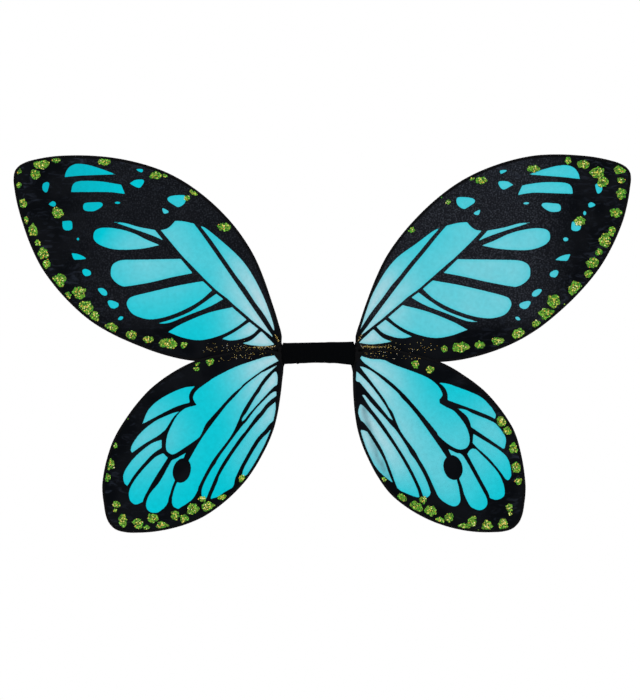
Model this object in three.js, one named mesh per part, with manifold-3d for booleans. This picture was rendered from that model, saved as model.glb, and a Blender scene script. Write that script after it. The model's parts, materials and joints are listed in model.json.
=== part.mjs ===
// Costume butterfly wings: four leaf-shaped wings of printed mesh on bent wire, joined by a padded centre
// band with two elastic arm loops.
//
// Units are millimetres. +Z is up and +Y points at the wearer's back. The origin is the middle of the flat
// back face of the centre band, which rests against the wearer. The decorated faces look along -Y.
// Each wing is drawn with u, the distance out from the middle, and z. Left wings are the same build mirrored.
import * as THREE from "three";
import { mergeVertices } from "three/addons/utils/BufferGeometryUtils.js";
import Module from "manifold-3d";

const wasm = await Module();
wasm.setup();

// ---- driving dimensions -------------------------------------------------------------------------------

const band = {
  halfLength: 45.6,
  halfHeight: 13.4,
  front: -13.6, // y of the front face
  back: 0, // y of the padded back face, which is the mount
  endBack: -3.2, // y of the back face at the two ends, where the straps are sewn on
  padHalfLength: 33,
  padHalfHeight: 11.4,
  corner: 4,
  cloth: 0.8,
};
const gap = 0.3; // left between pieces that touch
const wireRadius = 0.8;
const hem = { inner: 1.05, outer: 1.35, mouth: 1.1 };
const meshThickness = 0.5;
const layer = { upper: -6, lower: -10.6 }; // y of each wing's plane: the lower wings lie in front
const collarX = 49.6; // the collar's middle, where it folds about the upright line at its inner front edge
const knuckle = { radius: 3.2, upperZ: 6, lowerZ: -1 }; // the round ends that the two wings turn on
const strap = { width: 6.5, thickness: 1.1, drop: 150, bulge: 5.2, anchorX: 42.3, sewn: 7 };
const strapSlant = { left: 20, right: 14 }; // degrees that each loop hangs outwards, behind its lower wing

// ---- wing outlines: the wire's centreline as [u, z], from the root over the top to the tip and back ----
// The frames are bent by hand, so left and right differ a little.

const outlines = {
  upper_left: [
    [49.8, 10.3], [48.8, 22], [52.8, 38], [62.3, 68.4], [82.9, 122.7], [114, 169.4], [160, 212], [207, 238],
    [269, 253.5], [331.5, 256], [368, 251], [386, 244.6], [393.6, 236], [394.4, 218], [383.5, 170.7],
    [356.5, 108.7], [299.5, 46.5], [237.4, 13], [175, -6.5], [121, -9.3], [82, -3.5], [63, 2.3], [53.8, 5],
  ],
  upper_right: [
    [49.8, 10.3], [49.8, 22], [54.6, 38], [65, 69], [88.3, 123], [123, 169.5], [171, 213], [218.4, 239],
    [280.8, 256], [343, 256], [380, 249.7], [398, 242.6], [404.6, 234], [404.4, 218], [394, 170.3],
    [361.5, 107.5], [300.8, 45.2], [249.6, 13], [187, -6.5], [128, -10], [84, -3.8], [63, 2.3], [53.8, 5],
  ],
  lower_left: [
    [53.8, -0.6], [62, 2], [88, 3.3], [127, -2.6], [157, -10], [191, -27.3], [222.3, -52], [253, -91.7],
    [268.5, -122], [279, -168], [277, -196.5], [272.5, -216], [262, -227.6], [238, -231.5], [191, -226],
    [145, -208], [98.4, -168], [71.4, -126], [58.4, -95], [51.8, -63.7], [48, -33], [46.6, -18], [48.9, -5.3],
  ],
  lower_right: [
    [53.8, -0.6], [62, 3], [83, 5.2], [117, -0.3], [160, -13.3], [187.2, -28.6], [218.4, -53], [249, -93],
    [259.5, -120], [267.6, -168], [266, -196.5], [261, -216], [250, -227], [227, -230.8], [187, -228],
    [140.4, -213], [94.3, -181], [65, -134], [52.5, -99], [47.5, -63.7], [46.2, -35], [46.4, -18], [48.9, -5.3],
  ],
};

// ---- helpers ------------------------------------------------------------------------------------------

// A spline whose steps fall evenly between its control points, so that close points give fine steps.
class Route extends THREE.CatmullRomCurve3 {
  getPointAt(t, target) {
    return this.getPoint(t, target);
  }
  getTangentAt(t, target) {
    return this.getTangent(t, target);
  }
}

// The stretch of a route between two of its steps.
class Stretch extends THREE.Curve {
  constructor(route, from, to) {
    super();
    Object.assign(this, { route, from, to });
  }
  getPoint(t, target) {
    return this.route.getPoint(THREE.MathUtils.lerp(this.from, this.to, t), target);
  }
  getPointAt(t, target) {
    return this.getPoint(t, target);
  }
  getTangentAt(t, target) {
    return this.route.getTangent(THREE.MathUtils.lerp(this.from, this.to, t), target);
  }
}

function ringPoints(radius, sides, fromAngle, toAngle) {
  const points = [];
  for (let i = 0; i < sides; i++) {
    const angle = THREE.MathUtils.lerp(fromAngle, toAngle, i / (sides - 1));
    points.push(new THREE.Vector2(radius * Math.cos(angle), radius * Math.sin(angle)));
  }
  return points;
}

function roundSection(radius, sides) {
  const step = (2 * Math.PI) / sides;
  return new THREE.Shape(ringPoints(radius, sides, step / 2, 2 * Math.PI - step / 2));
}

function sweep(path, section, steps) {
  return new THREE.ExtrudeGeometry(section, { extrudePath: path, steps, bevelEnabled: false });
}

// A box between two corners, each [x, y, z].
function boxBetween(low, high) {
  const size = high.map((value, i) => value - low[i]);
  return new THREE.BoxGeometry(...size).translate(...low.map((value, i) => value + size[i] / 2));
}

// A bar along X whose Y-Z section is a rectangle with rounded corners.
function roundedBar(low, high, radius) {
  const [y0, y1, z0, z1] = [low[1], high[1], low[2], high[2]];
  const shape = new THREE.Shape();
  shape.moveTo(y0 + radius, z0);
  shape.lineTo(y1 - radius, z0).absarc(y1 - radius, z0 + radius, radius, -Math.PI / 2, 0);
  shape.lineTo(y1, z1 - radius).absarc(y1 - radius, z1 - radius, radius, 0, Math.PI / 2);
  shape.lineTo(y0 + radius, z1).absarc(y0 + radius, z1 - radius, radius, Math.PI / 2, Math.PI);
  shape.lineTo(y0, z0 + radius).absarc(y0 + radius, z0 + radius, radius, Math.PI, 1.5 * Math.PI);
  const bar = new THREE.ExtrudeGeometry(shape, { depth: high[0] - low[0], bevelEnabled: false, curveSegments: 4 });
  // The section was drawn in X and Y and pushed along Z: turn it so that it runs along X.
  return bar.applyMatrix4(new THREE.Matrix4().set(0, 0, 1, low[0], 1, 0, 0, 0, 0, 1, 0, 0, 0, 0, 0, 1));
}

function solid(geometry) {
  const positions = new THREE.BufferGeometry().setAttribute("position", geometry.getAttribute("position"));
  if (geometry.index) positions.setIndex(geometry.index);
  const merged = mergeVertices(positions, 1e-4);
  return new wasm.Manifold(
    new wasm.Mesh({
      numProp: 3,
      vertProperties: merged.attributes.position.array,
      triVerts: new Uint32Array(merged.index.array),
    }),
  );
}

function geometryOf(manifold) {
  const mesh = manifold.getMesh();
  return new THREE.BufferGeometry()
    .setAttribute("position", new THREE.BufferAttribute(mesh.vertProperties, 3))
    .setIndex(new THREE.BufferAttribute(mesh.triVerts, 1));
}

// ---- materials ----------------------------------------------------------------------------------------

const materials = {
  knit: new THREE.MeshStandardMaterial({ color: 0x0c0c0e, roughness: 0.9 }),
  foam: new THREE.MeshStandardMaterial({ color: 0x33343a, roughness: 0.95 }),
  plastic: new THREE.MeshStandardMaterial({ color: 0x1d1e22, roughness: 0.5 }),
  tape: new THREE.MeshStandardMaterial({ color: 0x131316, roughness: 0.6 }),
  wire: new THREE.MeshStandardMaterial({ color: 0x16161a, roughness: 0.4, metalness: 0.3 }),
  hem: new THREE.MeshStandardMaterial({ color: 0x08080a, roughness: 0.85 }),
  mesh: new THREE.MeshStandardMaterial({ color: 0x1fb4c6, roughness: 0.8 }),
  elastic: new THREE.MeshStandardMaterial({ color: 0x101013, roughness: 0.9 }),
};

const wings = new THREE.Group();

function add(group, name, geometry, material) {
  const mesh = new THREE.Mesh(geometry, material);
  mesh.name = name;
  group.add(mesh);
  return mesh;
}

// ---- centre band --------------------------------------------------------------------------------------

// The cloth tube: slim at its ends, where the straps are sewn, and thicker over the padding.
function sleeveSkin(inset) {
  const { halfLength, halfHeight, front, back, endBack, padHalfLength, padHalfHeight, corner } = band;
  const reach = inset ? halfLength + 1 : halfLength; // the hollow runs out through both ends
  const tube = roundedBar(
    [-reach, front + inset, -halfHeight + inset],
    [reach, endBack - inset, halfHeight - inset],
    corner - inset,
  );
  const pad = boxBetween(
    [-padHalfLength + inset, (front + endBack) / 2, -padHalfHeight + inset],
    [padHalfLength - inset, back - inset, padHalfHeight - inset],
  );
  return solid(tube).add(solid(pad));
}

function centreBand() {
  const group = new THREE.Group();
  add(group, "centre_sleeve", geometryOf(sleeveSkin(0).subtract(sleeveSkin(band.cloth))), materials.knit);

  const padDepth = 2.4;
  const padBack = band.back - band.cloth - gap;
  const padReach = [band.padHalfLength, band.padHalfHeight].map((half) => half - band.cloth - gap);
  const padding = boxBetween([-padReach[0], padBack - padDepth, -padReach[1]], [padReach[0], padBack, padReach[1]]);
  add(group, "back_padding", padding, materials.foam);

  // A stiff strip lies between the upper wings' wire necks and the lower wings', and keeps the sides apart.
  const stripThickness = 1.4;
  const stripMiddle = (layer.upper + layer.lower) / 2;
  const strip = boxBetween([-42, stripMiddle - stripThickness / 2, -9.5], [42, stripMiddle + stripThickness / 2, 9.5]);
  add(group, "core_strip", strip, materials.plastic);
  return group;
}

// The end of a wing's wire loop inside the sleeve: two legs joined by a round bend.
function neck(y, topZ, bottomZ) {
  const bend = (topZ - bottomZ) / 2;
  const middle = (topZ + bottomZ) / 2;
  const mouth = band.halfLength - gap;
  const bendStart = 16;
  const route = [new THREE.Vector3(mouth, y, topZ), new THREE.Vector3((mouth + bendStart) / 2, y, topZ)];
  for (let i = 0; i <= 6; i++) {
    const angle = Math.PI / 2 + (i * Math.PI) / 6;
    route.push(new THREE.Vector3(bendStart + bend * Math.cos(angle), y, middle + bend * Math.sin(angle)));
  }
  route.push(new THREE.Vector3((mouth + bendStart) / 2, y, bottomZ), new THREE.Vector3(mouth, y, bottomZ));
  const path = new Route(route, false, "centripetal");
  return sweep(path, roundSection(wireRadius, 6), 2 * (route.length - 1));
}

// Tape wound round both necks and the end of the strip.
function neckTape() {
  const wall = 0.4;
  const [x0, x1] = [28, 38];
  const [front, back] = [layer.lower - wireRadius - 0.4, layer.upper + wireRadius + gap];
  const outer = solid(boxBetween([x0, front - wall, -10.4], [x1, back + wall, 10.4]));
  return geometryOf(outer.subtract(solid(boxBetween([x0 - 1, front, -10], [x1 + 1, back, 10]))));
}

// ---- folding collar -----------------------------------------------------------------------------------

// The taped bundle just outside the sleeve: a round knuckle for each wing, joined by a web.
function collar() {
  const [front, back] = [layer.lower - hem.outer - 0.2, layer.upper + hem.outer + 0.2];
  const { radius, upperZ, lowerZ } = knuckle;
  const disc = (z) => {
    const cylinder = new THREE.CylinderGeometry(radius, radius, back - front, 16);
    return solid(cylinder.translate(collarX, (front + back) / 2, z));
  };
  const webHalf = radius - 0.6;
  const web = boxBetween([collarX - webHalf, front, lowerZ], [collarX + webHalf, back, upperZ]);
  return geometryOf(disc(upperZ).add(disc(lowerZ)).add(solid(web)));
}

// ---- a wing -------------------------------------------------------------------------------------------

const stepsPerPoint = 2;

// A hollow channel round the wire, open towards the wing, where the mesh comes out.
function hemSection() {
  const half = hem.mouth / 2;
  const sides = 7;
  const outerAngle = Math.asin(half / hem.outer);
  const innerAngle = Math.asin(half / hem.inner);
  // In the sweep the section's Y axis points into the wing, so the mouth is at +Y.
  const turn = Math.PI / 2;
  const outside = ringPoints(hem.outer, sides, turn + outerAngle, turn + 2 * Math.PI - outerAngle);
  const inside = ringPoints(hem.inner, sides, turn + 2 * Math.PI - innerAngle, turn + innerAngle);
  return new THREE.Shape([...outside, ...inside]);
}

// The mesh panel: the wire's line moved into the wing, left off where the wires close up at the root.
function panel(route, steps, y) {
  const inset = wireRadius + gap;
  const points = [];
  for (let i = 1; i < steps; i++) {
    const at = route.getPoint(i / steps);
    const along = route.getTangent(i / steps);
    points.push(new THREE.Vector2(at.x + along.z * inset, at.z - along.x * inset));
  }
  const sheet = new THREE.ExtrudeGeometry(new THREE.Shape(points.reverse()), {
    depth: meshThickness,
    bevelEnabled: false,
  });
  // Drawn in X and Y with its thickness along +Z: stand it up in X and Z with its thickness along Y.
  return sheet.rotateX(Math.PI / 2).translate(0, y + meshThickness / 2, 0);
}

function wing(name, y) {
  const group = new THREE.Group();
  const route = new Route(
    outlines[name].map(([u, z]) => new THREE.Vector3(u, y, z)),
    false,
    "centripetal",
  );
  const steps = stepsPerPoint * (outlines[name].length - 1);
  add(group, `${name}_frame`, sweep(route, roundSection(wireRadius, 6), steps), materials.wire);
  const hemRoute = new Stretch(route, 1 / steps, 1 - 1 / steps);
  add(group, `${name}_hem`, sweep(hemRoute, hemSection(), steps - 2), materials.hem);
  add(group, `${name}_mesh`, panel(route, steps, y), materials.mesh);
  return group;
}

// ---- arm loops ----------------------------------------------------------------------------------------

// A loop of flat elastic hanging flat behind the wing: straight in front, bulging towards the wearer.
function armLoop() {
  const { thickness, drop, bulge, width } = strap;
  const top = -strap.sewn - gap;
  const front = band.endBack + gap;
  const outerRadius = bulge + thickness;
  const centreY = front + outerRadius;
  const outside = new THREE.Shape();
  outside.moveTo(front, top);
  outside.lineTo(front, -drop + outerRadius);
  outside.absarc(centreY, -drop + outerRadius, outerRadius, Math.PI, 2 * Math.PI);
  outside.lineTo(front + 2 * thickness + 0.3, top);
  outside.closePath();
  const hollow = new THREE.Path();
  hollow.moveTo(front + thickness, top - 14);
  hollow.lineTo(front + thickness, -drop + outerRadius);
  hollow.absarc(centreY, -drop + outerRadius, bulge, Math.PI, 2 * Math.PI);
  hollow.closePath();
  outside.holes.push(hollow);
  const loop = new THREE.ExtrudeGeometry(outside, { depth: width, bevelEnabled: false, curveSegments: 8 });
  // Drawn as Y and Z with its width along the third axis: lay the width along X, centred.
  return loop.applyMatrix4(new THREE.Matrix4().set(0, 0, 1, -width / 2, 1, 0, 0, 0, 0, 1, 0, 0, 0, 0, 0, 1));
}

// The sewn-down end of the loop: both layers of elastic, flat on the end of the sleeve.
function strapEnd() {
  const front = band.endBack + gap;
  const high = [strap.width / 2, front + 2 * strap.thickness + 0.2, strap.sewn];
  return boxBetween([-strap.width / 2, front, -strap.sewn], high);
}

function slanted(geometry, side) {
  return geometry.rotateY(-THREE.MathUtils.degToRad(strapSlant[side])).translate(strap.anchorX, 0, 0);
}

// ---- assembly -----------------------------------------------------------------------------------------

wings.add(centreBand());
for (const [side, sign] of [["left", -1], ["right", 1]]) {
  const half = new THREE.Group();
  half.scale.x = sign;
  add(half, `upper_${side}_neck`, neck(layer.upper, 8.6, 3), materials.wire);
  add(half, `lower_${side}_neck`, neck(layer.lower, 1.8, -6), materials.wire);
  add(half, `${side}_neck_tape`, neckTape(), materials.tape);
  add(half, `${side}_collar`, collar(), materials.tape);
  add(half, `${side}_strap_end`, slanted(strapEnd(), side), materials.elastic);
  add(half, `${side}_arm_loop`, slanted(armLoop(), side), materials.elastic);
  half.add(wing(`upper_${side}`, layer.upper), wing(`lower_${side}`, layer.lower));
  wings.add(half);
}

export default wings;
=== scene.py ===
"""Costume butterfly wings: four wings of printed mesh on wire, a padded centre band and two arm loops.

Everything is in the frame's own axes: +Z up, the decorated faces look along -Y, the wearer is at +Y.
Plane shapes are drawn in millimetres as (u, z), where u is the distance out from the middle of the band.
"""
import json
import math
import random

import bmesh
import bpy
import numpy as np
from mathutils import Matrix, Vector, geometry, noise


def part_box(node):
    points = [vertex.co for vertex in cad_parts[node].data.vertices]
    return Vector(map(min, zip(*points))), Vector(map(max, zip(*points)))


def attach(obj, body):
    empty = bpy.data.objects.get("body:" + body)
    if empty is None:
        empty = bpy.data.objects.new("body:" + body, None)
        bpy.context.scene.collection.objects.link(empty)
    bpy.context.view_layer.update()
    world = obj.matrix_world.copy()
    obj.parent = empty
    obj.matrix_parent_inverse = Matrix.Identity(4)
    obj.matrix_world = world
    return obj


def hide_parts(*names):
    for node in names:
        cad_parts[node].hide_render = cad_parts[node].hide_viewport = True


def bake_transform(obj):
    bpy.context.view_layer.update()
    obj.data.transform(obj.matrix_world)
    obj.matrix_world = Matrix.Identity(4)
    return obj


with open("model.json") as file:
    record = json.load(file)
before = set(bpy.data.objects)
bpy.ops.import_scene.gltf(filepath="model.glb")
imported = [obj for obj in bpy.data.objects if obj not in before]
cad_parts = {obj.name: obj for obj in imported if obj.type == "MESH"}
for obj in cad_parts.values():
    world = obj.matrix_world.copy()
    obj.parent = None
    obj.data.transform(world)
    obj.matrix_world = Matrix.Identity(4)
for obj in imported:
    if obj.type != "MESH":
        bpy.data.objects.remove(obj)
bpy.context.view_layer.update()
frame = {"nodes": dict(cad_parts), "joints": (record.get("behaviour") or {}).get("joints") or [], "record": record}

MM = 0.001
SIDES = {"left": -1, "right": 1}
C = "corner"  # marks a point where a drawn outline turns sharply


# ---- camera, light and floor ----

VIEW_HEIGHT = 0.910  # what the picture takes in at the wings, from bottom to top
CAMERA_DISTANCE = 3.0
CAMERA_AIM = (0.0022, -0.008, 0.0045)
FLOOR_Z = -0.62


def make_camera():
    data = bpy.data.cameras.new("camera")
    data.sensor_width = 36
    data.lens = data.sensor_width * CAMERA_DISTANCE / VIEW_HEIGHT
    camera = bpy.data.objects.new("camera", data)
    camera.location = (CAMERA_AIM[0], CAMERA_AIM[1] - CAMERA_DISTANCE, CAMERA_AIM[2])
    camera.rotation_euler = (math.pi / 2, 0, 0)
    bpy.context.scene.collection.objects.link(camera)
    bpy.context.scene.camera = camera


def area_light(name, location, size, power):
    data = bpy.data.lights.new(name, "AREA")
    data.size, data.energy = size, power
    light = bpy.data.objects.new(name, data)
    light.location = location
    light.rotation_euler = (-Vector(location)).to_track_quat("-Z", "Y").to_euler()
    bpy.context.scene.collection.objects.link(light)


def make_world(seen, light):
    """A white studio: the backdrop is seen at one strength and lights the object at another."""
    world = bpy.data.worlds.new("studio")
    bpy.context.scene.world = world
    world.use_nodes = True
    tree = world.node_tree
    shade = tree.nodes["Background"]
    shade.inputs["Color"].default_value = (1, 1, 1, 1)
    path = tree.nodes.new("ShaderNodeLightPath")
    strength = tree.nodes.new("ShaderNodeMapRange")
    tree.links.new(path.outputs["Is Camera Ray"], strength.inputs["Value"])
    strength.inputs["To Min"].default_value = light
    strength.inputs["To Max"].default_value = seen
    tree.links.new(strength.outputs["Result"], shade.inputs["Strength"])


def make_stage():
    make_camera()
    make_world(seen=1.0, light=0.8)
    area_light("key", (-1.4, -2.0, 1.8), 1.2, 22)
    area_light("fill", (1.8, -1.6, 0.5), 1.6, 8)
    area_light("back", (0.4, 2.2, 1.6), 1.6, 18)
    bpy.context.scene.view_settings.view_transform = "Standard"
    mesh = bpy.data.meshes.new("floor")
    sides = 96
    ring = [(math.cos(2 * math.pi * i / sides), math.sin(2 * math.pi * i / sides), 0) for i in range(sides)]
    mesh.from_pydata(ring, [], [range(sides)])
    floor = bpy.data.objects.new("floor", mesh)
    floor.location.z = FLOOR_Z
    bpy.context.scene.collection.objects.link(floor)
    floor.data.materials.append(new_material("floor", (0.9, 0.9, 0.89), roughness=0.9)[0])


# ---- materials ----

class Nodes:
    """Short ways to add and link shader nodes in one material."""

    def __init__(self, tree):
        self.tree = tree
        self.shader = tree.nodes["Principled BSDF"]

    def add(self, kind, settings=None, **inputs):
        node = self.tree.nodes.new(f"ShaderNode{kind}")
        for key, value in (settings or {}).items():
            setattr(node, key, value)
        for key, value in inputs.items():
            self.feed(node.inputs[key.replace("_", " ")], value)
        return node

    def feed(self, socket, value):
        if isinstance(value, bpy.types.NodeSocket):
            self.tree.links.new(value, socket)
        else:
            socket.default_value = value

    def attribute(self, name):
        return self.add("Attribute", {"attribute_name": name}).outputs["Fac"]

    def place(self, stretch=(1, 1, 1), turn=(0, 0, 0)):
        """The point's place in metres, scaled and turned."""
        where = self.add("TexCoord").outputs["Object"]
        return self.add("Mapping", Vector=where, Scale=stretch, Rotation=turn).outputs["Vector"]

    def noise(self, scale, detail=2.0, vector=None, distortion=0.0):
        return self.add(
            "TexNoise", Vector=vector or self.place(), Scale=scale, Detail=detail, Distortion=distortion
        ).outputs["Fac"]

    def wave(self, scale, vector=None, direction="X", distortion=0.0):
        vector = vector or self.place()
        return self.add(
            "TexWave", {"bands_direction": direction}, Vector=vector, Scale=scale, Distortion=distortion
        ).outputs["Fac"]

    def ramp(self, value, low, high, to_low=0.0, to_high=1.0, smooth=False):
        settings = {"interpolation_type": "SMOOTHSTEP"} if smooth else {}
        node = self.add("MapRange", settings, Value=value)
        node.inputs["From Min"].default_value = low
        node.inputs["From Max"].default_value = high
        node.inputs["To Min"].default_value = to_low
        node.inputs["To Max"].default_value = to_high
        return node.outputs["Result"]

    def math(self, operation, a, b):
        node = self.add("Math", {"operation": operation})
        self.feed(node.inputs[0], a)
        self.feed(node.inputs[1], b)
        return node.outputs["Value"]

    def mix(self, share, a, b, blend="MIX"):
        node = self.add("Mix", {"data_type": "RGBA", "blend_type": blend})
        self.feed(node.inputs["Factor"], share)
        self.feed(node.inputs[6], a if isinstance(a, bpy.types.NodeSocket) else (*a, 1))
        self.feed(node.inputs[7], b if isinstance(b, bpy.types.NodeSocket) else (*b, 1))
        return node.outputs[2]

    def colour(self, value):
        self.feed(self.shader.inputs["Base Color"], value)

    def bump(self, height, distance, strength=1.0):
        node = self.add("Bump", Height=height, Distance=distance, Strength=strength)
        self.tree.links.new(node.outputs["Normal"], self.shader.inputs["Normal"])


def new_material(name, colour, roughness, metallic=0.0, sheen=0.0, specular=0.5):
    material = bpy.data.materials.new(name)
    material.use_nodes = True
    nodes = Nodes(material.node_tree)
    shader = nodes.shader
    shader.inputs["Base Color"].default_value = (*colour, 1)
    shader.inputs["Roughness"].default_value = roughness
    shader.inputs["Metallic"].default_value = metallic
    shader.inputs["Sheen Weight"].default_value = sheen
    shader.inputs["Specular IOR Level"].default_value = specular
    return material, nodes


def srgb(red, green, blue):
    """A colour given in 0 to 255 display values, as linear light."""
    return tuple(
        value / 255 / 12.92 if value / 255 <= 0.04045 else ((value / 255 + 0.055) / 1.055) ** 2.4
        for value in (red, green, blue)
    )


def printed_mesh_material():
    """Nylon mesh printed with black ink round turquoise cells that fade towards the root."""
    material, nodes = new_material("printed_mesh", (0, 0, 0), roughness=0.55, specular=0.025)
    weave_turn = math.radians(28)
    threads = nodes.math(
        "MULTIPLY",
        nodes.wave(420, nodes.place(turn=(0, weave_turn, 0))),
        nodes.wave(420, nodes.place(turn=(0, weave_turn, 0)), direction="Z"),
    )
    fuzz = nodes.ramp(nodes.noise(620, 3), 0.25, 0.75, -0.22, 0.22)
    edge = nodes.math("ADD", nodes.attribute("cell"), fuzz)
    inside = nodes.ramp(edge, -0.28, 0.28, smooth=True)

    airbrush = nodes.ramp(nodes.attribute("cell"), 0.3, 5.5, 0.74, 1.06, smooth=True)
    mottle = nodes.ramp(nodes.noise(30, 3), 0.3, 0.7, 0.88, 1.12)
    fade = nodes.math("MULTIPLY", nodes.math("MULTIPLY", nodes.attribute("fade"), airbrush), mottle)
    bright = nodes.mix(fade, srgb(0, 193, 208), srgb(174, 212, 221))
    bright = nodes.mix(nodes.attribute("deep"), bright, srgb(16, 92, 112))
    blotch = nodes.ramp(nodes.noise(210, 4), 0.3, 0.7, 0.94, 1.04)
    blotches = nodes.add("CombineColor", Red=blotch, Green=blotch, Blue=blotch).outputs[0]
    bright = nodes.mix(1.0, bright, blotches, "MULTIPLY")
    # painted shadow of the strap behind the mesh, made patchy by noise
    strap_shadow_patches = nodes.ramp(nodes.noise(160, 5, nodes.place(stretch=(1, 1, 0.5))), 0.3, 0.7, 0.55, 1.25)
    bright = nodes.mix(nodes.math("MULTIPLY", nodes.attribute("shadow"), strap_shadow_patches), bright, srgb(72, 108, 118))

    grain_place = nodes.place(stretch=(1, 1, 2.4), turn=(0, math.radians(35), 0))
    grain = nodes.ramp(nodes.noise(55, 6, grain_place, distortion=1.6), 0.5, 0.72, smooth=True)
    slate = nodes.math("MULTIPLY", nodes.math("MULTIPLY", grain, nodes.attribute("worn")), 0.75)
    haze = nodes.ramp(nodes.noise(24, 3), 0.36, 0.66, smooth=True)
    ink = nodes.mix(haze, srgb(3, 5, 9), srgb(12, 14, 18))
    ink = nodes.mix(nodes.attribute("grey"), ink, srgb(20, 22, 27))
    ink = nodes.mix(slate, ink, srgb(44, 50, 62))
    speckle = nodes.ramp(nodes.noise(520, 2), 0.5, 0.68)
    speckle = nodes.math("MULTIPLY", speckle, nodes.math("MULTIPLY", nodes.attribute("grey"), 0.75))
    ink = nodes.mix(speckle, ink, srgb(58, 62, 70))
    nodes.colour(nodes.mix(inside, ink, bright))
    nodes.feed(nodes.shader.inputs["Roughness"], nodes.ramp(inside, 0, 1, 0.5, 0.7))
    nodes.bump(threads, 0.12 * MM, 0.5)
    return material


def binding_material():
    """Black ribbon rolled round the wire."""
    material, nodes = new_material("black_binding", srgb(9, 9, 11), roughness=0.8, specular=0.08)
    pile = nodes.noise(1500, 3)
    nodes.colour(nodes.mix(pile, srgb(2, 2, 4), srgb(10, 10, 13)))
    nodes.bump(pile, 0.1 * MM, 0.6)
    return material


def knit_material():
    """Matte black jersey: rows of small V stitches with a faint pile."""
    material, nodes = new_material("black_knit", srgb(5, 6, 8), roughness=0.95, specular=0.03)
    rows = nodes.wave(260, direction="Z")
    wales = nodes.wave(330, direction="X", distortion=0.6)
    stitch = nodes.math("MULTIPLY", rows, wales)
    lint = nodes.ramp(nodes.noise(800, 3), 0.6, 0.8)
    base = nodes.mix(stitch, srgb(1, 2, 3), srgb(8, 9, 11))
    nodes.colour(nodes.mix(nodes.math("MULTIPLY", lint, 0.2), base, srgb(26, 27, 31)))
    nodes.bump(stitch, 0.25 * MM, 0.7)
    return material


def elastic_material():
    """Braided elastic, ribbed along its length."""
    material, nodes = new_material("black_elastic", srgb(12, 12, 14), roughness=0.8, specular=0.12)
    braid = nodes.wave(300, direction="Z", distortion=1.2)
    nodes.colour(nodes.mix(braid, srgb(7, 7, 9), srgb(24, 24, 27)))
    nodes.bump(braid, 0.15 * MM, 0.6)
    return material


def thread_material():
    material, nodes = new_material("thread", srgb(20, 20, 23), roughness=0.6, sheen=0.1)
    twist = nodes.wave(900, direction="DIAGONAL")
    nodes.colour(nodes.mix(twist, srgb(10, 10, 12), srgb(36, 36, 40)))
    nodes.bump(twist, 0.05 * MM)
    return material


def tape_material():
    """Black cloth tape wound round the wires."""
    material, nodes = new_material("black_tape", srgb(10, 10, 12), roughness=0.6, specular=0.05)
    cloth = nodes.math("MULTIPLY", nodes.wave(500, direction="X"), nodes.wave(500, direction="Z"))
    smudge = nodes.noise(120, 3)
    nodes.colour(nodes.mix(smudge, srgb(2, 2, 3), srgb(8, 8, 10)))
    nodes.feed(nodes.shader.inputs["Roughness"], nodes.ramp(smudge, 0.3, 0.7, 0.42, 0.65))
    nodes.bump(cloth, 0.08 * MM, 0.5)
    return material


def wire_material():
    material, nodes = new_material("black_wire", srgb(16, 16, 18), roughness=0.35, metallic=0.2)
    scuffs = nodes.ramp(nodes.noise(400, 4), 0.58, 0.7)
    nodes.colour(nodes.mix(scuffs, srgb(12, 12, 14), srgb(60, 60, 64)))
    return material


def inner_material(name, low, high):
    """Foam or plastic that hides inside the band."""
    material, nodes = new_material(name, low, roughness=0.8)
    nodes.colour(nodes.mix(nodes.noise(700, 3), low, high))
    return material


def glitter_material():
    """Metallised flakes: each one has its own tint."""
    material, nodes = new_material("glitter", (0.5, 0.6, 0.1), roughness=0.42, metallic=0.25, specular=0.25)
    nodes.colour(nodes.add("Attribute", {"attribute_name": "tint"}).outputs["Color"])
    return material


def glue_material():
    """Dried glue, tinted by the flakes in it."""
    material, nodes = new_material("glitter_glue", srgb(90, 130, 36), roughness=0.4, specular=0.2)
    specks = nodes.ramp(nodes.noise(1100, 2), 0.4, 0.6)
    nodes.colour(nodes.mix(specks, srgb(56, 112, 26), srgb(134, 164, 48)))
    return material


# ---- the print: turquoise cells on black ----

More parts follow.
